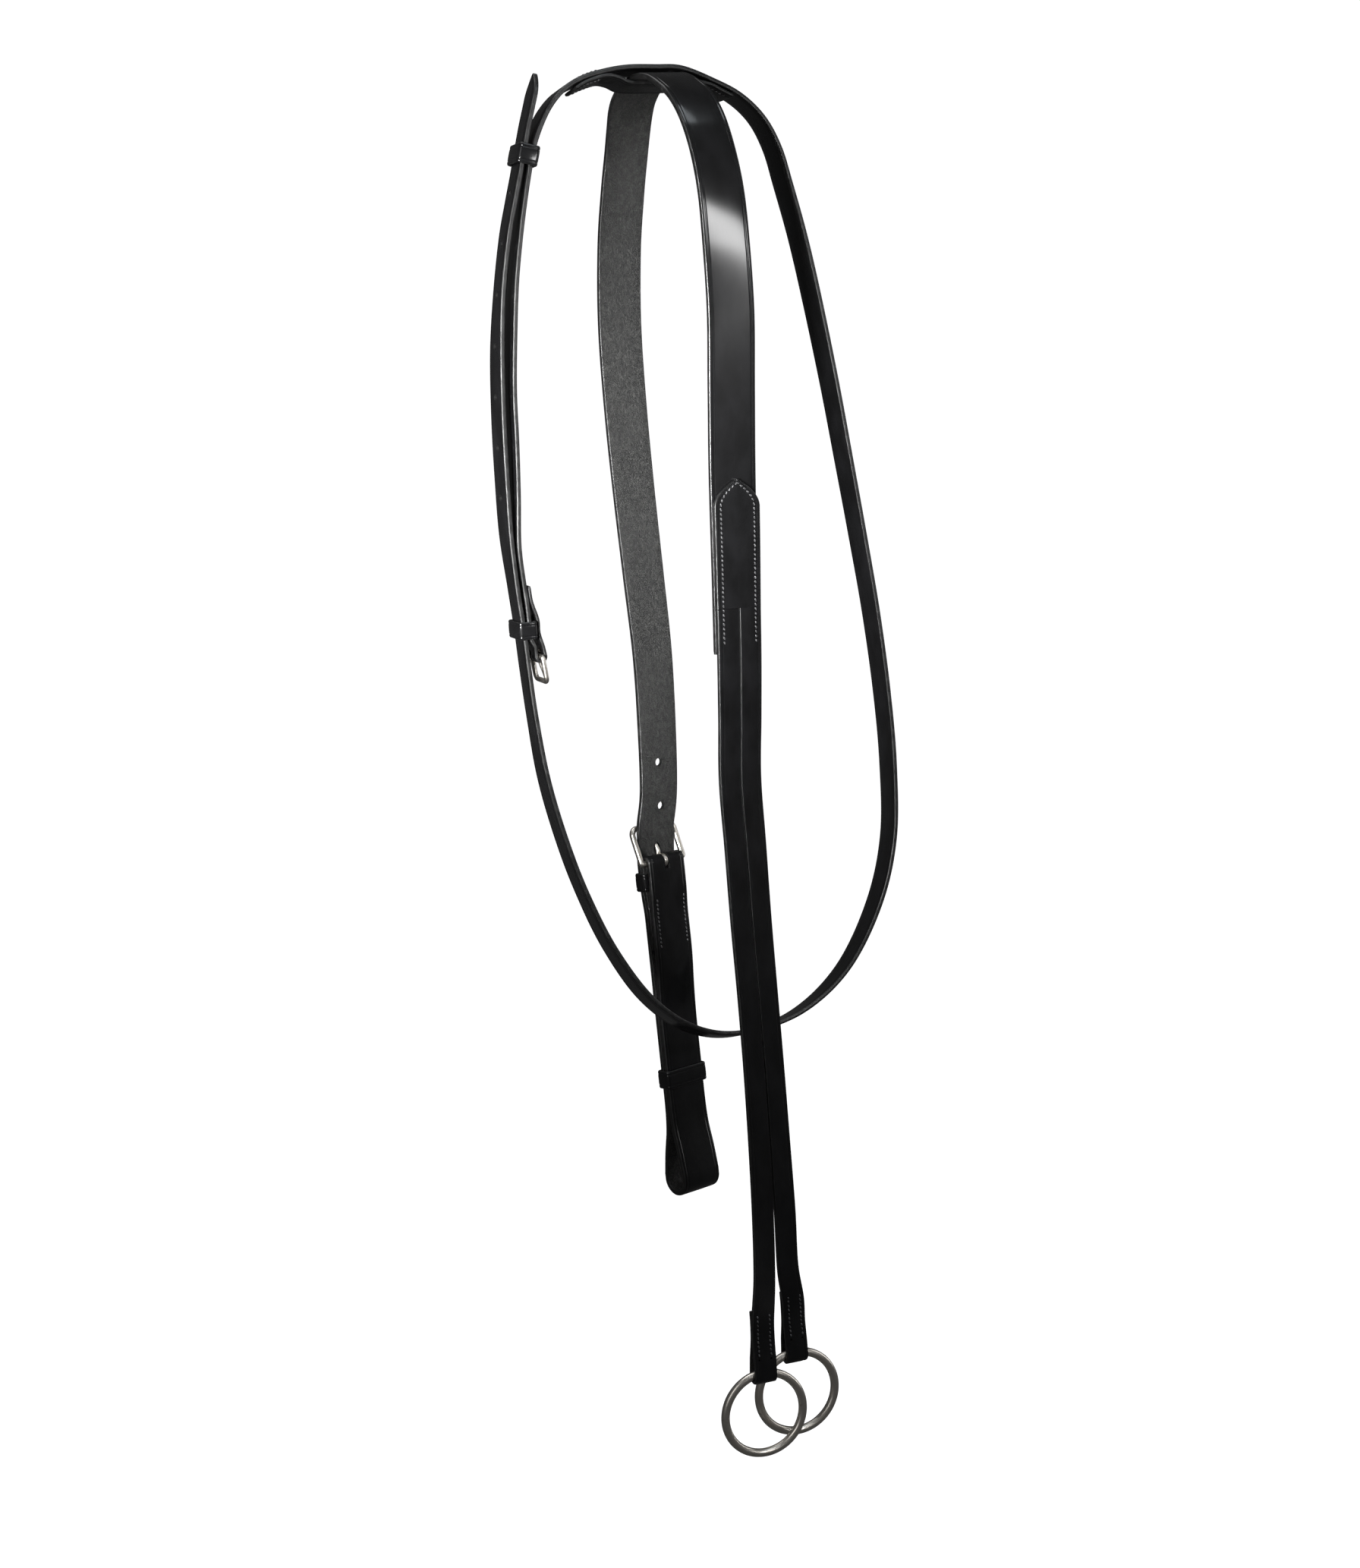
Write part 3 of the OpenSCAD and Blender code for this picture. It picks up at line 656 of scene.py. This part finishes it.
# %% Neck strap
NT = -9                        # twist of the neck strap near its buckle and keepers
BILLET_HOLE, BILLET_HOLES = 3.6, 7
NECK_AT, NECK_TURN, NECK_TILT = (-84, 0, -286.5), (0, 0, 81), 7
NECK_BACK = [(3.8, 36), (3, 28), (0.4, 19), (0.2, 12), (-1.6, 5)]
NECK_START = [(2.7, 5), (4.7, 10), (5.1, 19), (5.6, 28), (6.3, 36)]
NECK_UP = neck_route([
    (-92, -230, NT, 0), (-91, -205, -5, 0), (-90, -179, -4, 0), (-89.3, -153, -4, 0),
    (-87, -127, -5, 0), (-83.6, -101, NT, 0), (-80, -80, NT, 0), (-76.2, -62, NT, 0),
    (-72.8, -48, NT, 0), (-69.6, -36, -8, 0), (-65, -25, -6, 0), (-59, -16, -4, -4),
    (-51.5, -9, 0, -9), (-41, -3.8, 0, -12), (-28, -0.5, 0, -12), (-15, 1.2, 0, -12),
    (0, 1.2, 0, -12), (15, 0.5, 0, -12), (32.5, -5.4, 0, -10), (48.5, -12.3, 0, -4),
    (61.5, -23.5, 0, -2), (70, -38.5, 0, -3), (75.5, -57, 0, -4), (83, -85, 0, -4),
    (90, -118, 0, -4), (98, -161, 0, -3), (105, -204, 0, -2), (111.5, -245, 0, -1),
    (117.5, -286, 0, 0), (122, -329, 0, 1), (124, -370, 0, 2), (122, -411, 0, 4),
    (110.5, -447, 0, 6), (88, -480, 0, 10), (57, -499.5, 0, 15), (20, -504.5, 0, 18),
    (-8.5, -496.5, 0, 14), (-33, -476.5, 0, 8), (-53, -446, 0, 2), (-67.5, -413, 0, -2),
    (-77.5, -382, -2, -2), (-85, -350, -6, 0), (-89, -318, NT, 0), (-91.2, -292, NT, 0),
    (-92.6, -272, NT, 0), (-94.6, -251, NT, 0), (-96.6, -225, -5, 0), (-96.8, -197, -4, 0),
    (-96.3, -166, -4, 0), (-94.5, -133, -5, 0), (-91, -104, NT, 0), (-86, -78, NT, 0),
    (-81.4, -61, NT, 0), (-77.6, -48, NT, 0), (-74.4, -36, NT, 0), (-71, -24, NT, 0),
    (-67.5, -13, NT, 0), (-65.2, -5.5, NT, 0), (-63.6, 0.5, NT, 0)])


def neck_side(points):
    return side_route(points, NECK_AT, NECK_TURN)


neck_run = (smooth_route(neck_side(NECK_BACK), 4)
            + neck_side(side_arc((0, 0), 2.5, 180, 360, 16))
            + smooth_route(neck_side(NECK_START) + NECK_UP, 10))
neck_strap = put("neck-strap", strap(neck_run, NECK_W, NECK_T, tips=(0, 12), thins=(46, -12),
                                     thin=NECK_THIN),
                 (GRAIN, EDGE, GRAIN), "leather", "leather", "neck_strap")
neck_frame = frame_matrix(NECK_AT, NECK_TURN)
neck_tilted = neck_frame @ Matrix.Rotation(math.radians(180 - NECK_TILT), 4, "X")
neck_length = stations(neck_run)[-1][4]
holes = bmesh.new()
block(holes, neck_frame, (-1.5, -6, -6), (1.5, 4, 3))
cut(neck_strap, holes)
holes = bmesh.new()
block(holes, neck_frame, (-1.5, -6, 2.5), (1.5, 0, 6))
for k in range(BILLET_HOLES):
    rod(holes, on_route(neck_run, neck_length - 60 - k * 25), BILLET_HOLE, 5)
cut(neck_strap, holes)
print("neck strap length:", round(neck_length), "mm")

# %% [markdown]
# The crossing loop is a short strip under the neck strap. Both of its ends are sewn to the neck
# strap, and the body strap passes between them, so the crossing can slide along it.

# %% Crossing loop
crossing_run = smooth_route(neck_route([
    (-44.5, -8.4, 0, -10), (-38, -5.5, 0, -12), (-28, -2.9, 0, -12), (-21, -3.9, 0, -12),
    (-15.5, -6.2, 0, -12), (-8, -6.8, 0, -12), (8, -6.8, 0, -12), (15.5, -6.7, 0, -12),
    (21, -6, 0, -12), (30.5, -7.5, 0, -10), (37, -10.2, 0, -8), (43.5, -13, 0, -6)]), 5)
put("crossing-loop", strap(crossing_run, NECK_W, LOOP_T, grain=-1), LEATHER, "leather", "leather",
    "crossing_loop")

# %% [markdown]
# Keepers are narrow bands of the same leather, closed round the straps. A fixed keeper is sewn
# in below its buckle. A running keeper slides. Each is a strap profile carried round a rectangle
# with rounded corners, so it has the same bevelled edges and creases.

# %% Keepers
def keeper(name, matrix, inner_x, inner_y, length, body, node_name, t=1.2):
    x, y, r = inner_x / 2 + t / 2, inner_y / 2 + t / 2, 1.4
    corners = ((x - r, y - r, 0), (r - x, y - r, 90), (r - x, r - y, 180), (x - r, r - y, 270))
    ring = []
    for cx, cy, start in corners:
        for a in range(0, 91, 15):
            angle = math.radians(start + a)
            out = Vector((math.cos(angle), math.sin(angle), 0))
            ring.append((Vector((cx, cy, 0)) + out * r, out))
    shape = profile(length, t)
    upward = Vector((0, 0, 1))
    sections = [[(matrix @ ((p + out * h + upward * z) * MM)) / MM for z, h in shape]
                for p, out in ring]
    reach = [0.0]
    for k in range(len(ring)):
        reach.append(reach[-1] + (ring[(k + 1) % len(ring)][0] - ring[k][0]).length)
    return put(name, skin(sections, reach, shape, closed=True), LEATHER, body, "leather", node_name)


def shifted(matrix, x, y, z):
    return matrix @ Matrix.Translation((x * MM, y * MM, z * MM))


keeper("girth-fixed-keeper", shifted(girth_frame, 0, 4.3, -10.5), 25.8, 6.4, 10, "leather",
       "girth_fixed_keeper")
keeper("girth-running-keeper", shifted(girth_frame, 0, 2.5, -120.5), 25.8, 7.3, 10,
       "girth_keeper", "girth_running_keeper")
keeper("neck-fixed-keeper", shifted(neck_frame, -0.7, 6.65, 14), 18.2, 7.6, 9, "leather",
       "neck_fixed_keeper")
keeper("neck-running-keeper", frame_matrix((-72.8, 0, -39), (15.5, 2, 81)), 17.5, 8.6, 10,
       "neck_keeper", "neck_running_keeper")

# %% [markdown]
# The rings are round wire, welded and plated. A small circle is spun once round the ring's axis.

# %% Rings
def ring(name, at, turn, node_name):
    bm = bmesh.new()
    bmesh.ops.create_circle(bm, segments=24, radius=(RING_WIRE / 2 + 0.2) * MM,
                            matrix=Matrix.Translation((RING_R * MM, 0, 0))
                            @ Matrix.Rotation(math.pi / 2, 4, "X"))
    bmesh.ops.spin(bm, geom=bm.verts[:] + bm.edges[:], axis=(0, 0, 1), cent=(0, 0, 0),
                   angle=2 * math.pi, steps=128, use_merge=True)
    bmesh.ops.remove_doubles(bm, verts=bm.verts, dist=1e-7)
    matrix = shifted(frame_matrix(at, turn), 0, 0, RING_DROP / 2 - RING_R)
    bmesh.ops.transform(bm, matrix=matrix @ Matrix.Rotation(math.pi / 2, 4, "X"), verts=bm.verts)
    bmesh.ops.recalc_face_normals(bm, faces=bm.faces)
    for face in bm.faces:
        face.smooth = True
    return put(name, bm, (NICKEL,), node_name, "nickel", node_name)


ring("left-ring", LEFT_AT, LEFT_TURN, "left_ring")
ring("right-ring", RIGHT_AT, RIGHT_TURN, "right_ring")

# %% [markdown]
# A buckle is bent from wire: a straight heel bar, two sides and a far bar with rounded corners.
# Its tongue is a thinner wire, flattened where it is bent round the heel bar, and its point
# rests on the far bar.

# %% Buckles
def wire(path, widths, normal, closed=False):
    """A tube along a flat path. widths is the (in-plane, sideways) radius at each point."""
    count, sections = len(path), []
    for i, p in enumerate(path):
        before = path[i - 1] if closed or i else p
        after = path[(i + 1) % count] if closed or i < count - 1 else p
        out = (after - before).normalized().cross(normal)
        a, b = widths[i]
        sections.append([p + out * math.cos(2 * math.pi * k / 20) * a
                         + normal * math.sin(2 * math.pi * k / 20) * b for k in range(20)])
    return skin(sections, list(range(count + 1)), [(0, 0)] * 20, closed)


def metal(name, bm, matrix, body, node_name):
    bmesh.ops.transform(bm, matrix=matrix, verts=bm.verts)
    for face in bm.faces:
        face.material_index = 0
        face.smooth = True
    return put(name, bm, (NICKEL,), body, "nickel", node_name)


def buckle(name, matrix, half, length, d, r, body):
    corners = ((half - 1.2, 1.2, 1.2, -90), (half - r, length - r, r, 0),
               (r - half, length - r, r, 90), (1.2 - half, 1.2, 1.2, 180))
    path = []
    for cx, cz, radius, start in corners:
        for a in range(0, 91, 10):
            angle = math.radians(start + a)
            path.append(Vector((cx + radius * math.cos(angle), 0, cz + radius * math.sin(angle))))
    bm = wire(path, [(d / 2, d / 2)] * len(path), Vector((0, 1, 0)), closed=True)
    return metal(name, bm, matrix, body, body + "_frame")


def tongue(name, matrix, bar_d, length, pin_d, eye_w, eye_t, body, node_name):
    eye = bar_d / 2 + 0.08 + eye_t / 2 + 0.55
    rise = (bar_d + pin_d) / 2 + 0.3
    path, widths = [], []
    for a in range(400, 50, -15):
        angle = math.radians(a)
        path.append(Vector((0, eye * math.sin(angle), eye * math.cos(angle))))
        widths.append((eye_t / 2, eye_w / 2))
    line = [Vector((0, 0.3 + (rise - 0.3) * f, length * f)) for f in (0.3, 0.5, 0.7, 0.85, 0.97)]
    line.append(Vector((0, rise - 0.1, length + 1.0)))
    line.append(Vector((0, rise - 0.5, length + 1.7)))
    bend = smooth([path[-2], path[-1]] + line, 6)[6:]
    for k, p in enumerate(bend):
        f = min(1, k / 8)
        taper = 1 if k < len(bend) - 5 else 1 - 0.45 * (k - len(bend) + 6) / 6
        path.append(p)
        widths.append(((eye_t / 2 + (pin_d - eye_t) / 2 * f) * taper,
                       (eye_w / 2 + (pin_d - eye_w) / 2 * f) * taper))
    return metal(name, wire(path, widths, Vector((1, 0, 0))), matrix, body, node_name)


GIRTH_WIRE, GIRTH_LONG = 3.2, 20
NECK_WIRE, NECK_LONG = 2.6, 13
buckle("girth-buckle", girth_tilted, (BODY_W + GIRTH_WIRE) / 2 + 0.6, GIRTH_LONG, GIRTH_WIRE, 4,
       "girth_buckle")
tongue("girth-tongue", girth_tilted, GIRTH_WIRE, GIRTH_LONG, 2.4, 2.8, 1.7, "girth_tongue",
       "girth_buckle_tongue")
buckle("neck-buckle", neck_tilted, (NECK_W + NECK_WIRE) / 2 + 0.5, NECK_LONG, NECK_WIRE, 3,
       "neck_buckle")
tongue("neck-tongue", neck_tilted, NECK_WIRE, NECK_LONG, 1.9, 2.4, 1.4, "neck_tongue",
       "neck_buckle_tongue")

# %% [markdown]
# Every seam is sewn by hand with waxed thread. A stitch shows as a short, slightly slanted bar,
# sunk a little into the leather, with a tiny gap before the next one. One stitch is a stretched
# ball of a few dozen faces, and a seam is one mesh with its stitches on both faces.

# %% Stitches
PITCH = 2.3                    # from one stitch to the next
STITCH = (1.0, 1.9, 0.84)      # width, length and height of one stitch
SLANT = 0.35                   # turn of a stitch from its row, in radians


def stitch(bm, matrix, turn):
    size = [side / 2 * MM for side in STITCH]
    bmesh.ops.create_uvsphere(bm, u_segments=8, v_segments=6, radius=1, matrix=matrix
                              @ Matrix.Rotation(turn, 4, "Z") @ Matrix.Diagonal((*size, 1)))


def sewn(name, bm, body, *nodes):
    for face in bm.faces:
        face.smooth = True
    return put(name, bm, (THREAD,), body, "thread", *nodes)


def straight_seam(bm, place, half, start, end, top, bottom):
    """Two rows. place(d) is the matrix on the seam's middle at distance d."""
    for k in range(int((end - start) / PITCH) + 1):
        d = start + k * PITCH
        here = place(d)
        for x in (-half, half):
            for z, slant in ((top, SLANT), (bottom, -SLANT)):
                stitch(bm, shifted(here, x, 0, z(d)), slant)


def fork_top_seam():
    """Follows the pointed top at a constant distance from its edge, then runs down both sides."""
    run = smooth_route(FORK_TOP + [FORK_LOW[1]], 10)
    steps = [(max(0.0, point_width(BODY_W, POINT, d) / 2 - 3.4), d) for d in
             [1.2 + 0.05 * i for i in range(1640)]]
    bm, walked, due = bmesh.new(), 0.0, 0.0
    for (x0, d0), (x1, d1) in zip(steps, steps[1:]):
        walked += math.hypot(x1 - x0, d1 - d0)
        if walked < due or x1 <= 0.3:
            continue
        due = walked + PITCH
        lean = math.atan2(x1 - x0, d1 - d0)
        here = on_route(run, d1)
        for sign in (-1, 1):
            for z, slant in ((1.3, SLANT), (-4.6, -SLANT)):
                stitch(bm, shifted(here, sign * x1, 0, z), sign * lean + slant)
    return bm


sewn("fork-top-stitching", fork_top_seam(), "leather", "fork_top_stitching")


def at_depth(line, z):
    """Depth of a side-view line at height z."""
    points = sorted((h, d) for d, h in line)
    for (z0, d0), (z1, d1) in zip(points, points[1:]):
        if z0 <= z <= z1:
            return d0 + (d1 - d0) * (z - z0) / (z1 - z0)
    return points[0][1] if z < points[0][0] else points[-1][1]


def frame_seam(matrix, front, front_t, back, back_t, half, z0, z1):
    bm = bmesh.new()
    stand = Matrix.Rotation(math.pi / 2, 4, "X")
    straight_seam(bm, lambda z: shifted(matrix, 0, 0, z) @ stand, half, z0, z1,
                  lambda z: front_t / 2 - at_depth(front, z),
                  lambda z: -back_t / 2 - at_depth(back, z))
    return bm


for name, at, turn in (("left_fork", LEFT_AT, LEFT_TURN), ("right_fork", RIGHT_AT, RIGHT_TURN)):
    seam = frame_seam(frame_matrix(at, turn), END_FRONT, 2.7, END_BACK, 2, TINE_W / 2 - 2.7,
                      12, 33)
    sewn(name.replace("_", "-") + "-stitching", seam, "leather", name + "_stitching")
sewn("girth-chape-stitching", frame_seam(girth_frame, GIRTH_NEAR, BODY_T, GIRTH_BACK, 2, 9.4, -46, -19),
     "leather", "girth_chape_stitching")
sewn("neck-chape-stitching", frame_seam(neck_frame, NECK_BACK, NECK_THIN, NECK_START, NECK_T, 5, 21, 34),
     "leather", "neck_chape_stitching")
crossing_length = stations(crossing_run)[-1][4]
for name, start in (("left", 3), ("right", crossing_length - 15.5)):
    seam = bmesh.new()
    straight_seam(seam, lambda d: on_route(crossing_run, d), 5, start, start + 12.5,
                  lambda d: LOOP_T / 2 + 0.4 + NECK_T, lambda d: -LOOP_T / 2)
    sewn("crossing-" + name + "-stitching", seam, "leather", "crossing_" + name + "_stitching")

# %% [markdown]
# The straps hang in front of a plain white wall and over a pale floor. Soft lights stand at the
# left, the right, the front and above. The low, narrow one in front gives the bright band across
# the front branch.

# %% Floor, wall and lights
def lit_paint(name, shade, glow):
    """Matt paint that glows evenly, so that it shows no shadow."""
    material, _, shader = start_finish(name)
    shader.inputs["Base Color"].default_value = (shade, shade, shade, 1)
    shader.inputs["Roughness"].default_value = 1.0
    shader.inputs["Specular IOR Level"].default_value = 0.0
    shader.inputs["Emission Color"].default_value = (1, 1, 1, 1)
    shader.inputs["Emission Strength"].default_value = glow
    return material


def sheet_of(name, size, matrix, material):
    bm = bmesh.new()
    bmesh.ops.create_grid(bm, x_segments=1, y_segments=1, size=size, matrix=matrix)
    mesh = bpy.data.meshes.new(name)
    bm.to_mesh(mesh)
    bm.free()
    mesh.materials.append(material)
    made = bpy.data.objects.new(name, mesh)
    bpy.context.scene.collection.objects.link(made)
    made.visible_diffuse = made.visible_glossy = False


pale = lit_paint("pale_paint", 0.8, 1.0)
sheet_of("floor", 12, Matrix.Translation((0, 0, -1.1)), pale)
sheet_of("wall", 12, Matrix.Translation((0, 4, 0)) @ Matrix.Rotation(math.pi / 2, 4, "X"), pale)


def softbox(name, place, aim, size, power, colour=(1, 1, 1), beam=180):
    data = bpy.data.lights.new(name, "AREA")
    data.shape = "RECTANGLE"
    data.size, data.size_y = size
    data.energy = power
    data.color = colour
    data.spread = math.radians(beam)
    light = bpy.data.objects.new(name, data)
    direction = Vector(place) - Vector(aim)
    turned = direction.to_track_quat("Z", "Y").to_matrix().to_4x4()
    light.matrix_world = Matrix.Translation(place) @ turned
    bpy.context.scene.collection.objects.link(light)


softbox("left key", (-1.5, -1.0, 0.3), (0, 0, -0.3), (0.4, 1.4), 4.5)
softbox("front strip", (0.363, -1.295, 0.0), (0.01, -0.05, -0.1), (0.4, 0.11), 4)
softbox("left beam", (-0.77, -0.6, -0.15), (0, 0.05, -0.21), (0.2, 0.2), 1.5, beam=32)
softbox("far right", (1.6, -0.3, 0), (0, 0, -0.35), (0.4, 1.4), 5)
softbox("above front", (0.26, -0.85, 0.95), (0, 0, 0), (0.7, 0.4), 4.5, (0.88, 0.95, 1))
softbox("above", (-0.2, 0.3, 1.2), (0, 0, 0), (1.0, 0.8), 7)
world = bpy.data.worlds.new("white room")
world.use_nodes = True
world.node_tree.nodes["Background"].inputs["Color"].default_value = (1, 1, 1, 1)
world.node_tree.nodes["Background"].inputs["Strength"].default_value = 0.06
bpy.context.scene.world = world
bpy.context.scene.view_settings.view_transform = "Standard"
